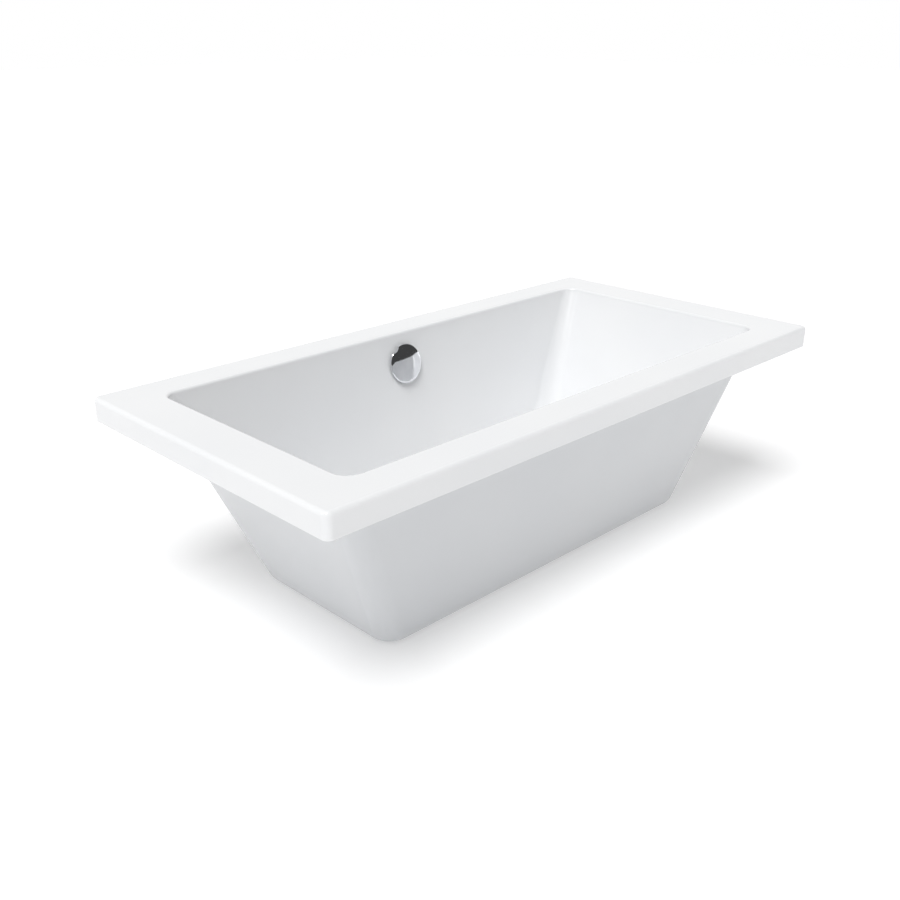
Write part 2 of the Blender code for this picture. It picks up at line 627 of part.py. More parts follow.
def make_plug(mats):
    """Pop-up plug: chrome cap, rubber seal and the stem that the lever lifts."""
    socket_top = STEM_TOP + 0.4 * MM
    cap = [(0, CAP_TOP), (18 * MM, CAP_TOP - 0.6 * MM), (28 * MM, CAP_TOP - 2.2 * MM),
           (CAP_RADIUS, CAP_TOP - 4 * MM), (CAP_RADIUS, CAP_UNDER), (CAP_HUB, CAP_UNDER),
           (CAP_HUB, HUB_LOW), (STEM_BORE, HUB_LOW), (STEM_BORE, socket_top), (0, socket_top)]
    add_object("plug_cap", turned("plug_cap", cap, False, 28), mats["chrome"])
    seal = ring_profile(24 * MM, 31 * MM, DRAIN_Z + 4.8 * MM, CAP_UNDER - GAP)
    add_object("plug_seal", turned("plug_seal", seal, True), mats["rubber"])
    stem = turned("plug_stem", rod_profile(STEM_RADIUS, STEM_LOW, STEM_TOP), False, 20)
    add_object("plug_stem", stem, mats["brass"])


def make_lever(mats):
    """Rocker on a pin across the trap: one arm lifts the stem, the other takes the cable."""
    across = along((0, LEVER_Y, LEVER_Z), (1, 0, 0))
    shaft = turned("lift_lever", rod_profile(LEVER_RADIUS, -19.5 * MM, 5 * MM), False, 24)
    lever = add_object("lift_lever", shaft, mats["brass"], across)
    lift = box_mesh("lift_arm", (-4 * MM, LEVER_Y, LEVER_Z - ARM_HALF),
                    (4 * MM, 4 * MM, LEVER_Z + ARM_HALF))
    boolean(lever, tool("lift_arm", lift), 'UNION')
    pull = box_mesh("pull_arm", (-18.5 * MM, LEVER_Y - ARM_HALF, LEVER_Z - 11 * MM),
                    (-14.5 * MM, LEVER_Y + ARM_HALF, LEVER_Z))
    boolean(lever, tool("pull_arm", pull), 'UNION')
    bore = turned("lever_bore", rod_profile(PIN_BORE, -25 * MM, 12 * MM), False, 24)
    boolean(lever, tool("lever_bore", bore, across), 'DIFFERENCE')
    pin = turned("lever_pin", rod_profile(PIN_RADIUS, -24.2 * MM, 9.7 * MM), False, 16)
    add_object("lever_pin", pin, mats["steel"], across)


# ---------------------------------------------------------------- hose and cable

def smooth_bend(points, start, corner, end, steps):
    """Add the points of a quadratic curve from start to end, pulled towards corner."""
    for step in range(1, steps + 1):
        share = step / steps
        point = start * (1 - share) ** 2 + corner * 2 * share * (1 - share) + end * share ** 2
        points.append(point)


def straight(points, end, steps):
    start = points[-1]
    for step in range(1, steps + 1):
        points.append(start.lerp(end, step / steps))


def drop_route(x_top, reach, bend, x_end, end_y, end_z):
    """Route down the back of the casing, round under it and forward to the trap."""
    frame = overflow_frame()
    down = (frame.to_3x3() @ Vector((0, -1, 0))).normalized()
    start = frame @ Vector((x_top, 0, HOUSING_AXIS)) + down * reach
    drop = (start.z - end_z) / -down.z
    corner = start + down * drop
    end = Vector((x_end, end_y, end_z))
    bend_start = corner - down * bend
    bend_end = corner + (end - corner).normalized() * bend
    points = [start]
    straight(points, bend_start, 4)
    smooth_bend(points, bend_start, corner, bend_end, 12)
    straight(points, end, 3)
    return points


def make_lines(mats):
    hose = drop_route(0, 55 * MM + GAP, HOSE_BEND, 0, 62 * MM + GAP, HOSE_Z)
    tube_curve("overflow_hose", hose, HOSE_RADIUS, mats["plastic"])
    cable = drop_route(CABLE_X, 38 * MM + GAP, HOSE_BEND, GLAND[0], 44 * MM + GAP, GLAND[1])
    tube_curve("cable_sheath", cable, CABLE_RADIUS, mats["dark"])


def main():
    for obj in list(bpy.data.objects):
        bpy.data.objects.remove(obj)
    mats = make_materials()
    basin = make_basin(mats["acrylic"])
    casing = make_casing(mats["acrylic"])
    web_low = make_frame(mats)
    make_feet(web_low, mats)
    make_overflow(basin, casing, mats)
    make_waste(basin, mats)
    make_lines(mats)


main()
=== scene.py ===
# %% [markdown]
# # A freestanding bath with a rotary overflow knob
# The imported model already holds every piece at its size. This lesson models the four that
# show most again with finer surfaces: two glossy acrylic mouldings and two turned chrome
# fittings. Every other piece keeps its shape and gets a finish. Everything is in metres.

# %% Load the fixed frame
import bpy
import json
from math import asin, atan, cos, degrees, pi, radians, sin, sqrt
from mathutils import Matrix, Vector


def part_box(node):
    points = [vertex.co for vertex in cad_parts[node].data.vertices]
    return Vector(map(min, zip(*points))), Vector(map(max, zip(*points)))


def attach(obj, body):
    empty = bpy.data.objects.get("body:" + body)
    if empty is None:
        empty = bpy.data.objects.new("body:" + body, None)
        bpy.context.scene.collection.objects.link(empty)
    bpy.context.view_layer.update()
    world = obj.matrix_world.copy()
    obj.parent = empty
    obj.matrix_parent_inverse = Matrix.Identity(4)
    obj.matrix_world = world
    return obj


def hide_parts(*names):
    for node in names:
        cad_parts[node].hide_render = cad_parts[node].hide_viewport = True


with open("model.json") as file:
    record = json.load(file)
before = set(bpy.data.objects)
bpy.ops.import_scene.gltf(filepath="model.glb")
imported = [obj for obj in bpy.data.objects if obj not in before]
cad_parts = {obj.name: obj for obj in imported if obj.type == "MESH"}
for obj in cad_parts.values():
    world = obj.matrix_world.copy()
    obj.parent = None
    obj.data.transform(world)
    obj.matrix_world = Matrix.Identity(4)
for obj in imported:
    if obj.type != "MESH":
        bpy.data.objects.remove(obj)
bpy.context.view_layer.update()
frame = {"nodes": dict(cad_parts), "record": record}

MM = 0.001

# %% [markdown]
# ## The camera
# The viewer stands near the left front corner, above the rim, and looks through a longish
# lens. The camera is made first, so that each later step can be judged through it.

# %% Camera
CAMERA_PLACE = (-1.937, -1.827, 1.368)
CAMERA_TILT = radians(67.5)     # 90 degrees would look level
CAMERA_TURN = radians(-44.56)   # clockwise from looking along +Y
LENS = 41.6

camera_data = bpy.data.cameras.new("studio_camera")
camera_data.lens = LENS
camera = bpy.data.objects.new("studio_camera", camera_data)
camera.location = CAMERA_PLACE
camera.rotation_euler = (CAMERA_TILT, 0, CAMERA_TURN)
bpy.context.scene.collection.objects.link(camera)
bpy.context.scene.camera = camera
print("camera lens", LENS, "mm")

# %% [markdown]
# ## Helpers for shader nodes
# Every finish here is a Principled BSDF whose colour and roughness drift a little, read
# from Object coordinates so that the pattern stays on the piece. A small helper adds a
# noise, another maps a value to a range, and a third turns a height into a bump.

# %% Shader helpers
def new_material(name, roughness, metallic=0.0):
    mat = bpy.data.materials.new(name)
    mat.use_nodes = True
    shader = mat.node_tree.nodes["Principled BSDF"]
    shader.inputs["Roughness"].default_value = roughness
    shader.inputs["Metallic"].default_value = metallic
    return mat, mat.node_tree, shader


def object_noise(tree, scale, detail=3.0, stretch=(1, 1, 1)):
    place = tree.nodes.new("ShaderNodeTexCoord")
    mapping = tree.nodes.new("ShaderNodeMapping")
    mapping.inputs["Scale"].default_value = stretch
    noise = tree.nodes.new("ShaderNodeTexNoise")
    noise.inputs["Scale"].default_value = scale
    noise.inputs["Detail"].default_value = detail
    tree.links.new(place.outputs["Object"], mapping.inputs["Vector"])
    tree.links.new(mapping.outputs["Vector"], noise.inputs["Vector"])
    return noise


def drift(tree, source, socket, low, high):
    """Drive a socket between low and high from a texture value."""
    remap = tree.nodes.new("ShaderNodeMapRange")
    remap.inputs["To Min"].default_value = low
    remap.inputs["To Max"].default_value = high
    tree.links.new(source, remap.inputs["Value"])
    tree.links.new(remap.outputs["Result"], socket)


def colour_drift(tree, source, socket, dark, light):
    ramp = tree.nodes.new("ShaderNodeValToRGB")
    ramp.color_ramp.elements[0].position = 0.3
    ramp.color_ramp.elements[0].color = (*dark, 1)
    ramp.color_ramp.elements[1].position = 0.7
    ramp.color_ramp.elements[1].color = (*light, 1)
    tree.links.new(source, ramp.inputs["Fac"])
    tree.links.new(ramp.outputs["Color"], socket)


def bump(tree, source, shader, strength, distance):
    node = tree.nodes.new("ShaderNodeBump")
    node.inputs["Strength"].default_value = strength
    node.inputs["Distance"].default_value = distance
    tree.links.new(source, node.inputs["Height"])
    tree.links.new(node.outputs["Normal"], shader.inputs["Normal"])


# %% [markdown]
# ## Sanitary acrylic
# Cast acrylic sheet is pure white with a mirror-like skin. Vacuum forming leaves it very
# slightly wavy, which shows only in reflections, so the bump is broad and faint. The
# colour hardly drifts, because the sheet is dyed all the way through. The casing is the same
# acrylic. Its copy here has a darker white, which is painted shade: it is set darker only so
# that the casing's sides read as shaded against this studio's bright floor.

# %% White acrylic
def make_acrylic(name, dark, light, roughness, waviness):
    mat, tree, shader = new_material(name, roughness)
    cloud = object_noise(tree, 2.5, 2.0)
    colour_drift(tree, cloud.outputs["Fac"], shader.inputs["Base Color"], dark, light)
    wear = object_noise(tree, 14.0, 5.0)
    drift(tree, wear.outputs["Fac"], shader.inputs["Roughness"], roughness - 0.04, roughness + 0.05)
    wave = object_noise(tree, 5.0, 1.0)
    bump(tree, wave.outputs["Fac"], shader, waviness, 0.004)
    shader.inputs["IOR"].default_value = 1.49
    shader.inputs["Coat Weight"].default_value = 0.25
    shader.inputs["Coat Roughness"].default_value = 0.05
    return mat


acrylic = make_acrylic("sanitary_acrylic", (0.838, 0.848, 0.862), (0.866, 0.872, 0.88), 0.16, 0.08)
# The casing copy's darker white is painted shade, not a different acrylic.
casing_acrylic_painted_shade = make_acrylic("casing_acrylic_painted_shade", (0.685, 0.70, 0.72), (0.71, 0.722, 0.738), 0.24, 0.10)
print("made", acrylic.name, "and", casing_acrylic_painted_shade.name)

# %% [markdown]
# ## Chrome, zinc and brass
# Plated chrome is nearly a mirror. Fine wiping haze makes its roughness drift, and that
# keeps a large reflection from looking computed. Zinc plate is duller with a cool mottle.
# Turned brass shows the lathe's fine rings as a tight stretched noise.

# %% Metals
def make_metal(name, dark, light, rough_low, rough_high, scale, grain, stretch=(1, 1, 1)):
    mat, tree, shader = new_material(name, rough_low, 1.0)
    mottle = object_noise(tree, scale, 4.0, stretch)
    colour_drift(tree, mottle.outputs["Fac"], shader.inputs["Base Color"], dark, light)
    haze = object_noise(tree, scale * 2.3, 5.0, stretch)
    drift(tree, haze.outputs["Fac"], shader.inputs["Roughness"], rough_low, rough_high)
    bump(tree, haze.outputs["Fac"], shader, grain, 0.0004)
    return mat


chrome = make_metal("polished_chrome", (0.72, 0.73, 0.76), (0.80, 0.81, 0.83), 0.03, 0.08, 30, 0.01)
zinc = make_metal("zinc_plate", (0.48, 0.50, 0.53), (0.66, 0.67, 0.68), 0.28, 0.45, 60, 0.12)
brass = make_metal("turned_brass", (0.62, 0.50, 0.26), (0.74, 0.62, 0.36), 0.22, 0.36, 90, 0.15,
                   (1, 1, 6))
print("made", chrome.name, zinc.name, brass.name)

# %% [markdown]
# ## Plastic, rubber and board
# Moulded polypropylene and rubber have a fine grain. The board is pressed wood chips in
# resin: a Voronoi cell gives each chip its own shade, and the distance to the cell's middle
# presses each chip in a little.

# %% Plastics and rubber
def make_plastic(name, dark, light, rough_low, rough_high, grain_scale, grain):
    mat, tree, shader = new_material(name, rough_low)
    mottle = object_noise(tree, 18.0, 3.0)
    colour_drift(tree, mottle.outputs["Fac"], shader.inputs["Base Color"], dark, light)
    fine = object_noise(tree, grain_scale, 4.0)
    drift(tree, fine.outputs["Fac"], shader.inputs["Roughness"], rough_low, rough_high)
    bump(tree, fine.outputs["Fac"], shader, grain, 0.0005)
    return mat


grey_plastic = make_plastic("grey_polypropylene", (0.60, 0.61, 0.61), (0.68, 0.69, 0.69),
                            0.38, 0.52, 500, 0.15)
black_plastic = make_plastic("black_polypropylene", (0.025, 0.025, 0.028), (0.05, 0.05, 0.055),
                             0.36, 0.5, 500, 0.18)
seal_rubber = make_plastic("seal_rubber", (0.02, 0.02, 0.02), (0.045, 0.044, 0.043),
                           0.68, 0.85, 900, 0.3)
pad_rubber = make_plastic("pad_rubber", (0.03, 0.03, 0.03), (0.06, 0.06, 0.06), 0.6, 0.8, 700, 0.3)
print("made two plastics and two rubbers")


# %% Chipboard
def make_board():
    mat, tree, shader = new_material("resin_chipboard", 0.7)
    place = tree.nodes.new("ShaderNodeTexCoord")
    chips = tree.nodes.new("ShaderNodeTexVoronoi")
    chips.inputs["Scale"].default_value = 220.0
    tree.links.new(place.outputs["Object"], chips.inputs["Vector"])
    ramp = tree.nodes.new("ShaderNodeValToRGB")
    ramp.color_ramp.elements[0].color = (0.24, 0.15, 0.07, 1)
    ramp.color_ramp.elements[1].color = (0.52, 0.37, 0.21, 1)
    tree.links.new(chips.outputs["Color"], ramp.inputs["Fac"])
    tree.links.new(ramp.outputs["Color"], shader.inputs["Base Color"])
    bump(tree, chips.outputs["Distance"], shader, 0.35, 0.0006)
    return mat


board_material = make_board()
print("made", board_material.name)

# %% [markdown]
# ## Modelling helpers
# The two mouldings are lofts: rounded-rectangle loops, one for each level, bridged into a
# skin. A loop is a plane whose four corners are bevelled. Some loops end up in one plane,
# where bridging can cross over, so all are bridged well apart and then moved into place.

# %% Selection helpers
CORNER_SEGMENTS = 14


def deselect_objects():
    bpy.ops.object.select_all(action='DESELECT')


def pick(obj, chosen):
    """In edit mode, select only the vertices whose index is in chosen."""
    bpy.ops.mesh.select_all(action='DESELECT')
    bpy.ops.object.mode_set(mode='OBJECT')
    for index in chosen:
        obj.data.vertices[index].select = True
    bpy.ops.object.mode_set(mode='EDIT')


def finish_piece(obj, name, mat, angle=32):
    """Outside-facing normals and smooth shading with crisp creases."""
    bpy.ops.object.mode_set(mode='EDIT')
    bpy.ops.mesh.select_all(action='SELECT')
    bpy.ops.mesh.normals_make_consistent(inside=False)
    bpy.ops.object.mode_set(mode='OBJECT')
    obj.name = name
    obj.data.name = name
    obj.data.materials.clear()
    obj.data.materials.append(mat)
    bpy.ops.object.shade_smooth_by_angle(angle=radians(angle))
    print(name, len(obj.data.polygons), "faces")
    return obj


def even_normals(obj):
    deselect_objects()
    obj.select_set(True)
    bpy.context.view_layer.objects.active = obj
    bpy.ops.object.modifier_add(type='WEIGHTED_NORMAL')
    obj.modifiers[-1].keep_sharp = True
    obj.modifiers[-1].weight = 100
    bpy.ops.object.modifier_apply(modifier=obj.modifiers[-1].name)


# %% Loft through rounded rectangles
STACK = 100 * MM    # the loops are bridged this far apart, then set to their true heights


def add_loop(half_x, half_y, radius, z):
    bpy.ops.mesh.primitive_plane_add(size=2, location=(0, 0, z))
    bpy.ops.transform.resize(value=(half_x, half_y, 1), center_override=(0, 0, z))
    bpy.ops.mesh.bevel(offset=radius, segments=CORNER_SEGMENTS, affect='VERTICES')
    bpy.ops.mesh.delete(type='ONLY_FACE')


def loft(loops, closed):
    """Bridge the loops one after another; the two ends are capped, or joined if closed."""
    deselect_objects()
    bpy.ops.mesh.primitive_plane_add(size=2, location=(0, 0, 0))
    obj = bpy.context.object
    bpy.ops.object.mode_set(mode='EDIT')
    bpy.ops.mesh.select_all(action='SELECT')
    bpy.ops.mesh.delete(type='VERT')
    for level, (half_x, half_y, radius, _) in enumerate(loops):
        add_loop(half_x, half_y, radius, level * STACK)
    count = 4 * (CORNER_SEGMENTS + 1)
    rings = [range(level * count, (level + 1) * count) for level in range(len(loops))]
    for first, second in zip(rings, rings[1:]):
        pick(obj, [*first, *second])
        bpy.ops.mesh.bridge_edge_loops()
    if closed:
        pick(obj, [*rings[-1], *rings[0]])
        bpy.ops.mesh.bridge_edge_loops()
    else:
        for end in (rings[0], rings[-1]):
            pick(obj, end)
            bpy.ops.mesh.edge_face_add()
    for level, ring in enumerate(rings):
        pick(obj, ring)
        bpy.ops.transform.translate(value=(0, 0, loops[level][3] - level * STACK))
    return obj


# %% [markdown]
# ## The shape of the walls
# Both mouldings are the same idea: a flat base, a fillet, and walls that lean outwards. A
# leaning wall meets its base in part of a circle, so the half width at any height follows
# from the wall's lean and the fillet's radius.

# %% Wall profile
def filleted_half(z, base_z, base_half, lean, fillet):
    tangent = fillet * (1 - sin(atan(lean)))
    height = z - base_z
    if height >= tangent:
        return base_half + lean * height
    centre = base_half + lean * tangent - fillet * cos(atan(lean))
    return centre + sqrt(max(fillet ** 2 - (fillet - height) ** 2, 0.0))


def wall_loops(base_z, halves, leans, fillet, corner_base, corner_top, top_z, steps=12):
    loops = []
    for step in range(steps + 1):
        z = base_z + fillet * (1 - cos(pi / 2 * step / steps))
        at = [filleted_half(z, base_z, half, lean, fillet) for half, lean in zip(halves, leans)]
        inset = halves[1] + leans[1] * (z - base_z) - at[1]
        loops.append((*at, corner_base - inset, z))
    for share in (0.25, 0.5, 0.75, 1.0):
        z = base_z + (top_z - base_z) * share
        at = [half + lean * (z - base_z) for half, lean in zip(halves, leans)]
        loops.append((*at, corner_base + (corner_top - corner_base) * share, z))
    return loops


def edge_arc(halves, corner, z, radius, first, last, steps=6):
    """Loops of a rounded edge whose section turns from angle first to last, in degrees."""
    loops = []
    for step in range(steps + 1):
        angle = radians(first + (last - first) * step / steps)
        out = radius * cos(angle)
        loops.append((halves[0] + out, halves[1] + out, corner + out, z + radius * sin(angle)))
    return loops


# %% [markdown]
# ## The basin moulding
# One sheet of acrylic makes the floor, the two backrests, the side walls, the rolled inner
# edge, the flat rim and the deep lip. The loops run from the drain up the inside, over the
# rim, round the lip and back down the hidden side, so the sheet keeps a true thickness.

# %% Basin sizes
rim_low, rim_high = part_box("inner_basin")
RIM_HALF = (rim_high[0], rim_high[1])
RIM_TOP = rim_high[2]
LIP_LOW = RIM_TOP - 60 * MM
SKIN = 6 * MM
RIM_CORNER = 18 * MM
RIM_EDGE = 11 * MM
OPENING_HALF = (778 * MM, 356 * MM)
OPENING_CORNER = 48 * MM
INNER_EDGE = 9 * MM
BASIN_LEAN = (0.54, 0.2088)     # backrests, side walls
FLOOR_TOP = 112 * MM
FLOOR_UNDER = rim_low[2]
DRAIN_Z = FLOOR_TOP - 3 * MM
FLOOR_FILLET = 60 * MM
FLOOR_CORNER = 70 * MM


def basin_wall(z, axis):
    return OPENING_HALF[axis] - INNER_EDGE - BASIN_LEAN[axis] * (RIM_TOP - INNER_EDGE - z)


# %% Model the basin
roll_z = RIM_TOP - INNER_EDGE
drain_loop = (62 * MM, 62 * MM, 60 * MM)
inside = wall_loops(FLOOR_TOP, [basin_wall(FLOOR_TOP, axis) for axis in (0, 1)], BASIN_LEAN,
                    FLOOR_FILLET, FLOOR_CORNER, OPENING_CORNER - INNER_EDGE, roll_z)
roll = edge_arc(OPENING_HALF, OPENING_CORNER, roll_z, INNER_EDGE, 180, 90)
edge_half = [half - RIM_EDGE for half in RIM_HALF]
rim_edge = edge_arc(edge_half, RIM_CORNER - RIM_EDGE, RIM_TOP - RIM_EDGE, RIM_EDGE, 90, 0)
SMALL = 1.5 * MM
lip_outer = edge_arc([half - SMALL for half in RIM_HALF], RIM_CORNER - SMALL, LIP_LOW + SMALL,
                     SMALL, 0, -90, 3)
lip_back_half = [half - SKIN for half in RIM_HALF]
lip_back = [(*lip_back_half, RIM_CORNER - SKIN, z) for z in (LIP_LOW, RIM_TOP - SKIN)]
slant = [SKIN / cos(atan(lean)) for lean in BASIN_LEAN]
hidden = wall_loops(FLOOR_UNDER, [basin_wall(FLOOR_UNDER, axis) + slant[axis] for axis in (0, 1)],
                    BASIN_LEAN, FLOOR_FILLET + SKIN, FLOOR_CORNER + SKIN,
                    OPENING_CORNER - INNER_EDGE + SKIN, RIM_TOP - SKIN)
basin_loops = [(*drain_loop, DRAIN_Z)] + inside + roll[1:] + rim_edge + lip_outer + lip_back
basin_loops += list(reversed(hidden)) + [(*drain_loop, FLOOR_UNDER)]
basin = finish_piece(loft(basin_loops, closed=False), "bath_basin", acrylic)


# %% [markdown]
# ## Cutting the two holes
# A fitter drills the waste hole in the floor and the overflow hole in the wall. Here a
# cylinder does each cut through a Boolean modifier, which is then applied. The overflow's
# own frame has X along the bath, Y up the leaning wall and Z out of the wall.

# %% Overflow frame and drilling
OVERFLOW_Z = 442 * MM
WALL_ANGLE = atan(BASIN_LEAN[1])
OVERFLOW_HOLE = 27 * MM
DRAIN_HOLE = 26 * MM
DRILL_LENGTH = 60 * MM
overflow_frame = Matrix.Translation((0, basin_wall(OVERFLOW_Z, 1), OVERFLOW_Z))
overflow_frame = overflow_frame @ Matrix.Rotation(pi / 2 - WALL_ANGLE, 4, 'X')


def drill(obj, radius, depth, place):
    deselect_objects()
    bpy.ops.mesh.primitive_cylinder_add(vertices=64, radius=radius, depth=depth)
    bit = bpy.context.object
    bit.matrix_world = place
    bpy.context.view_layer.update()
    deselect_objects()
    obj.select_set(True)
    bpy.context.view_layer.objects.active = obj
    bpy.ops.object.modifier_add(type='BOOLEAN')
    cut = obj.modifiers[-1]
    cut.object = bit
    cut.operation = 'DIFFERENCE'
    bpy.ops.object.modifier_apply(modifier=cut.name)
    bpy.data.objects.remove(bit)


drill(basin, OVERFLOW_HOLE, DRILL_LENGTH, overflow_frame)
drill(basin, DRAIN_HOLE, DRILL_LENGTH, Matrix.Translation((0, 0, DRAIN_Z)))
even_normals(basin)
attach(basin, "tub")
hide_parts("inner_basin")
print("basin", len(basin.data.polygons), "faces after drilling")

# %% [markdown]
# ## The outer casing
# A second, thinner sheet wraps the bath from under the rim to just above the floor. Its
# bottom edge turns in, which makes the bright rounded line seen along the floor. An arched
# notch at the back lets the waste pipe and the overflow hose out.

# %% Model the casing
CASING_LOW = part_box("outer_casing")[0][2]
CASING_HALF = (584.6 * MM, 251 * MM)
CASING_LEAN = (0.4154, 0.2088)
CASING_SKIN = 4.5 * MM
CASING_CORNER = 55 * MM
CASING_FILLET = 20 * MM
FLANGE = 15 * MM
FOOT_RETURN = 10 * MM
casing_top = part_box("outer_casing")[1][2]
outer = wall_loops(CASING_LOW, CASING_HALF, CASING_LEAN, CASING_FILLET, CASING_CORNER,
                   CASING_CORNER, casing_top - CASING_SKIN, steps=8)
slant = [CASING_SKIN / cos(atan(lean)) for lean in CASING_LEAN]
inner_half = [half + lean * CASING_SKIN - thick
              for half, lean, thick in zip(CASING_HALF, CASING_LEAN, slant)]
inner = wall_loops(CASING_LOW + CASING_SKIN, inner_half, CASING_LEAN, CASING_FILLET - CASING_SKIN,
                   CASING_CORNER - CASING_SKIN, CASING_CORNER - CASING_SKIN, casing_top, steps=8)
half_x, half_y, corner, _ = outer[-1]
flange = [(half_x + FLANGE, half_y + FLANGE, corner + FLANGE, z)
          for z in (casing_top - CASING_SKIN, casing_top)]
half_x, half_y, corner, _ = outer[0]
foot = [(half_x - FOOT_RETURN, half_y - FOOT_RETURN, corner - FOOT_RETURN, z)
        for z in (CASING_LOW + CASING_SKIN, CASING_LOW)]
casing_loops = outer + flange + list(reversed(inner)) + foot
# The casing wears the copy of the acrylic whose darker colour is painted shade.
casing = finish_piece(loft(casing_loops, closed=True), "bath_casing", casing_acrylic_painted_shade)

# %% [markdown]
# ## The notch at the back
# The waste pipe has to leave the closed casing, and the hose and the cable have to enter it.
# A notch sawn up from the bottom edge of the far wall would do for all three, with rounded
# corners so that the sheet doesn't crack. A bevelled block cuts it, being easy to place.

# %% Cut the pipe notch and the overflow hole
NOTCH_HALF = 50 * MM
NOTCH_TOP = 122 * MM
NOTCH_BELOW = 20 * MM       # how far the block reaches past the bottom edge
NOTCH_DEPTH = 140 * MM
NOTCH_Y = 260 * MM
deselect_objects()
bpy.ops.mesh.primitive_cube_add(size=1, location=(0, NOTCH_Y, (NOTCH_TOP - NOTCH_BELOW) / 2))
notch = bpy.context.object
bpy.ops.transform.resize(value=(2 * NOTCH_HALF, NOTCH_DEPTH, NOTCH_TOP + NOTCH_BELOW))
bpy.ops.object.transform_apply(location=False, rotation=False, scale=True)
bpy.ops.object.modifier_add(type='BEVEL')
notch.modifiers[-1].width = 12 * MM
notch.modifiers[-1].segments = 6
bpy.ops.object.modifier_apply(modifier=notch.modifiers[-1].name)
deselect_objects()
casing.select_set(True)
bpy.context.view_layer.objects.active = casing
bpy.ops.object.modifier_add(type='BOOLEAN')
casing.modifiers[-1].object = notch
casing.modifiers[-1].operation = 'DIFFERENCE'
bpy.ops.object.modifier_apply(modifier=casing.modifiers[-1].name)
bpy.data.objects.remove(notch)
drill(casing, OVERFLOW_HOLE, DRILL_LENGTH, overflow_frame)
even_normals(casing)
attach(casing, "tub")
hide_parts("outer_casing")
print("casing", len(casing.data.polygons), "faces after cutting")


# %% [markdown]
# ## Turned fittings
# The chrome pieces are round, so each starts as a circle. The profile is walked point by
# point: extrude the circle, scale it to the next radius and lift it to the next height.
# The profile starts and ends close to the axis, where a disc closes the surface.

# %% Turning helper
ROUND = 96


def turned(name, profile, mat, place=Matrix.Identity(4), angle=32):
    deselect_objects()
    radius, z = profile[0]
    bpy.ops.mesh.primitive_circle_add(vertices=ROUND, radius=radius, location=(0, 0, 0))
    obj = bpy.context.object
    bpy.ops.object.mode_set(mode='EDIT')
    bpy.ops.mesh.select_all(action='SELECT')
    bpy.ops.transform.translate(value=(0, 0, z))
    bpy.ops.mesh.edge_face_add()
    for next_radius, next_z in profile[1:]:
        bpy.ops.mesh.extrude_region_move(TRANSFORM_OT_translate={"value": (0, 0, next_z - z)})
        factor = next_radius / radius
        bpy.ops.transform.resize(value=(factor, factor, 1), center_override=(0, 0, next_z))
        radius, z = next_radius, next_z
    finish_piece(obj, name, mat, angle)
    obj.data.transform(place)
    obj.data.update()
    return obj


def arc_points(centre, radius, first, last, steps):
    """Profile points (radius, z) along part of a circle, in degrees."""
    points = []
    for step in range(steps + 1):
        angle = radians(first + (last - first) * step / steps)
        points.append((centre[0] + radius * cos(angle), centre[1] + radius * sin(angle)))
    return points


# %% [markdown]
# ## The rotary overflow knob
# A thick zinc casting under bright chrome: a domed face, a rounded shoulder, a straight skirt
# that hides the overflow slot, and one scallop where a finger pushes it round. The dome
# matters, because it sets where the reflection of the near wall ends and the room begins.

# %% Model the knob
KNOB_RADIUS = 58 * MM
KNOB_TOP = 17 * MM
KNOB_LOW = 5.2 * MM
KNOB_WALL = 2.5 * MM
HUB_RADIUS = 9 * MM
SPINDLE_BORE = 4.3 * MM
BORE_TOP = 10.6 * MM
AXIS = 0.05 * MM            # a profile ends this close to the axis, in a tiny disc
EDGE_BREAK = 0.6 * MM
DOME_DROP = 4 * MM
dome_edge = KNOB_RADIUS - 7 * MM
dome_radius = (dome_edge ** 2 + DOME_DROP ** 2) / (2 * DOME_DROP)
dome_span = degrees(asin(dome_edge / dome_radius))
dome = arc_points((0, KNOB_TOP - dome_radius), dome_radius, 89.9, 90 - dome_span, 10)
SHOULDER = 5.5 * MM
shoulder_z = KNOB_TOP - DOME_DROP - 6.2 * MM
shoulder = arc_points((KNOB_RADIUS - SHOULDER, shoulder_z), SHOULDER, 75, 0, 6)
knob_profile = dome + shoulder + [
    (KNOB_RADIUS, KNOB_LOW + EDGE_BREAK), (KNOB_RADIUS - EDGE_BREAK, KNOB_LOW),
    (KNOB_RADIUS - KNOB_WALL, KNOB_LOW), (KNOB_RADIUS - KNOB_WALL, KNOB_TOP - 10 * MM),
    (KNOB_RADIUS - 9 * MM, KNOB_TOP - 7 * MM), (HUB_RADIUS, KNOB_TOP - 4 * MM),
    (HUB_RADIUS, KNOB_LOW), (SPINDLE_BORE, KNOB_LOW), (SPINDLE_BORE, BORE_TOP),
    (AXIS, BORE_TOP)]
knob = turned("chrome_knob", knob_profile, chrome, overflow_frame, angle=40)

# %% Cut the finger scallop
SCALLOP_ANGLE = radians(126)
SCALLOP_RADIUS = 27 * MM
SCALLOP_DEPTH = 7 * MM
reach = KNOB_RADIUS - SCALLOP_DEPTH + SCALLOP_RADIUS
scallop_x = reach * cos(SCALLOP_ANGLE)
scallop_y = reach * sin(SCALLOP_ANGLE)
scallop_place = Matrix.Translation((scallop_x, scallop_y, 15 * MM))
drill(knob, SCALLOP_RADIUS, 40 * MM, overflow_frame @ scallop_place)
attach(knob, "knob")
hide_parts("overflow_knob")

# %% [markdown]
# ## The waste
# The plug's cap covers a chrome flange in the floor: a shallow dome with a crisp edge, so
# that water slides under it when it's lifted. Its hub takes the stem that the lever pushes.
# The cap is turned like the knob. It hides most of the flange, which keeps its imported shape.

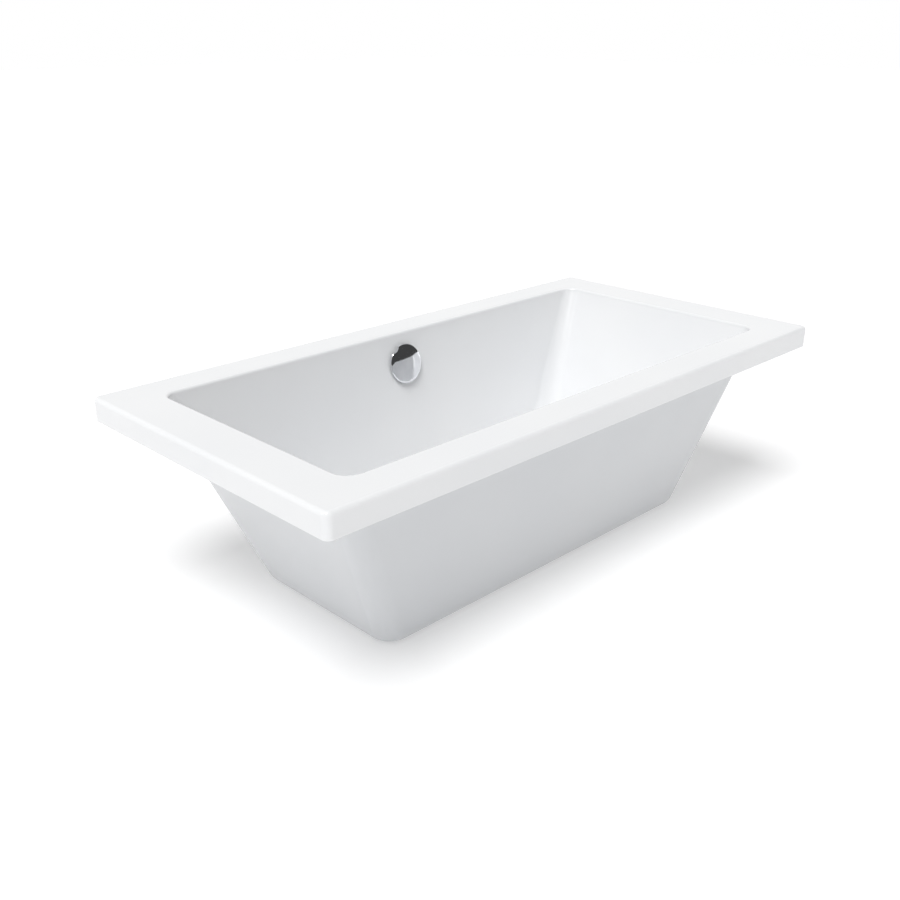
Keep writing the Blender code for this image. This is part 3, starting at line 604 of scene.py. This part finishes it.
# %% Model the plug cap
cap_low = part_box("plug_cap")[0][2]
cap_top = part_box("plug_cap")[1][2]
CAP_EDGE = 32.5 * MM
CAP_DOME_EDGE = 30 * MM
CAP_DOME_DROP = 2.4 * MM
CAP_HUB = 8 * MM
STEM_BORE = 3.4 * MM
STEM_SOCKET_TOP = 115 * MM
cap_under = cap_top - 4.9 * MM
cap_dome_radius = (CAP_DOME_EDGE ** 2 + CAP_DOME_DROP ** 2) / (2 * CAP_DOME_DROP)
cap_span = degrees(asin(CAP_DOME_EDGE / cap_dome_radius))
cap_profile = arc_points((0, cap_top - cap_dome_radius), cap_dome_radius, 89.9, 90 - cap_span, 8)
cap_profile += [(31.6 * MM, cap_top - 2.9 * MM), (CAP_EDGE, cap_top - 3.7 * MM),
                (CAP_EDGE, cap_under), (CAP_HUB, cap_under), (CAP_HUB, cap_low),
                (STEM_BORE, cap_low), (STEM_BORE, STEM_SOCKET_TOP), (AXIS, STEM_SOCKET_TOP)]
plug_cap = turned("plug_dome", cap_profile, chrome)
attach(plug_cap, "plug")
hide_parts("plug_cap")

# %% [markdown]
# ## Finishes for the carried-over pieces
# The frame, the feet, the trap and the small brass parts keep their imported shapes, which are
# right for plain made pieces. Each takes the finish that its slot in the record names.

# %% Assign finishes
finish_of = {
    "chrome": chrome, "steel": zinc, "brass": brass, "board": board_material,
    "pad_rubber": pad_rubber, "seal_rubber": seal_rubber, "black_plastic": black_plastic,
    "grey_plastic": grey_plastic, "acrylic": acrylic,
}
for entry in frame["record"]["subparts"]:
    node = frame["nodes"][entry["node"]]
    node.data.materials.clear()
    node.data.materials.append(finish_of[entry["material_slot"]])
print("finished", len(frame["nodes"]), "carried-over pieces")

# %% [markdown]
# ## The studio
# A bath like this is shot on a white, faintly lit floor that runs on without an edge. One
# very soft light comes from above and the left, so that the left lip is the brightest
# upright face and the near side stays a shade darker. The sky lifts the shadows. It is white
# to the eye, so that it meets the floor without a line. Mirrors see a white wall behind the
# bath and the dark, unlit room in front of it.

# %% Floor
deselect_objects()
bpy.ops.mesh.primitive_plane_add(size=60, location=(0, 0, 0))
floor = bpy.context.object
floor.name = "studio_floor"
floor_finish, floor_tree, floor_shader = new_material("studio_paper", 0.95)
paper = object_noise(floor_tree, 0.8, 2.0)
colour_drift(floor_tree, paper.outputs["Fac"], floor_shader.inputs["Base Color"],
             (0.74, 0.74, 0.745), (0.76, 0.76, 0.76))
floor_shader.inputs["Emission Color"].default_value = (1.0, 1.0, 1.0, 1)
floor_shader.inputs["Emission Strength"].default_value = 0.3
floor.data.materials.append(floor_finish)
print("floor", floor.dimensions[0], "m across")

# %% Soft light
SUN_FROM = Vector((-0.42, -0.2, 0.885))
SUN_STRENGTH = 2.35
SUN_SOFTNESS = radians(28)
SKY_FILL = 0.36
DARK_ROOM = 0.06
WHITE_WALL = 1.0

sun_data = bpy.data.lights.new("soft_overhead", 'SUN')
sun_data.energy = SUN_STRENGTH
sun_data.angle = SUN_SOFTNESS
sun = bpy.data.objects.new("soft_overhead", sun_data)
sun.rotation_euler = SUN_FROM.to_track_quat('Z', 'Y').to_euler()
bpy.context.scene.collection.objects.link(sun)
print("sun", SUN_STRENGTH)

# %% Sky
world = bpy.data.worlds.new("studio_sky")
bpy.context.scene.world = world
world.use_nodes = True
sky = world.node_tree
rays = sky.nodes.new("ShaderNodeLightPath")


def sky_part(strength):
    part = sky.nodes.new("ShaderNodeBackground")
    part.inputs["Color"].default_value = (1.0, 1.0, 1.0, 1)
    part.inputs["Strength"].default_value = strength
    return part


def sky_switch(ray, otherwise, when):
    mixer = sky.nodes.new("ShaderNodeMixShader")
    sky.links.new(rays.outputs[ray], mixer.inputs[0])
    sky.links.new(otherwise.outputs[0], mixer.inputs[1])
    sky.links.new(when.outputs[0], mixer.inputs[2])
    return mixer


mirrored = sky_part(DARK_ROOM)
heading = sky.nodes.new("ShaderNodeTexCoord")
split = sky.nodes.new("ShaderNodeSeparateXYZ")
sky.links.new(heading.outputs["Generated"], split.inputs["Vector"])
front_to_back = sky.nodes.new("ShaderNodeMapRange")
front_to_back.inputs["From Min"].default_value = -0.25
front_to_back.inputs["From Max"].default_value = 0.25
front_to_back.inputs["To Min"].default_value = DARK_ROOM
front_to_back.inputs["To Max"].default_value = WHITE_WALL
sky.links.new(split.outputs["Y"], front_to_back.inputs["Value"])
sky.links.new(front_to_back.outputs["Result"], mirrored.inputs["Strength"])
lit = sky_switch("Is Glossy Ray", sky_part(SKY_FILL), mirrored)
seen = sky_switch("Is Camera Ray", lit, sky_part(1.0))
sky.links.new(seen.outputs[0], sky.nodes["World Output"].inputs["Surface"])
bpy.context.scene.view_settings.view_transform = 'Standard'
print("sky", SKY_FILL)
